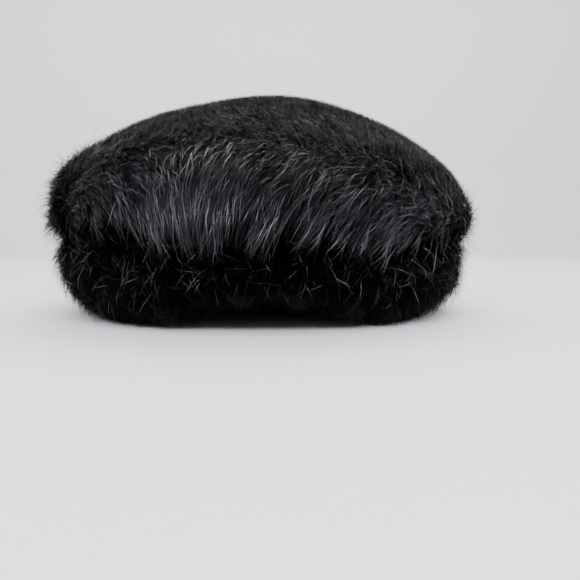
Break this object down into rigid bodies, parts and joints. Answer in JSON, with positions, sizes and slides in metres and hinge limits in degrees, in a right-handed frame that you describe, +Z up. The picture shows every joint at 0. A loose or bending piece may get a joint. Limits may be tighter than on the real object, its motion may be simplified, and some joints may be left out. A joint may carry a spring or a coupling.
{
  "type": "halo hat of black fur",
  "caption": "Round puffy fur hat: a domed crown sewn at one seam to a turned-under band with a head opening.",
  "frame": {"origin": "middle of the hat at the surface that it rests on", "axes": "+Z up through the crown, -Y towards the front, +X to the wearer's left"},
  "size_m": [0.2358, 0.2454, 0.1241],
  "materials": {
    "black_fur": "dyed fur with a soft blue-grey sheen",
    "dyed_leather": "matt flesh side of a dyed pelt"
  },
  "bodies": {
    "root": {"crown": "dyed_leather", "crown_fur": "black_fur", "under_band": "dyed_leather", "under_band_fur": "black_fur"}
  },
  "joints": []
}
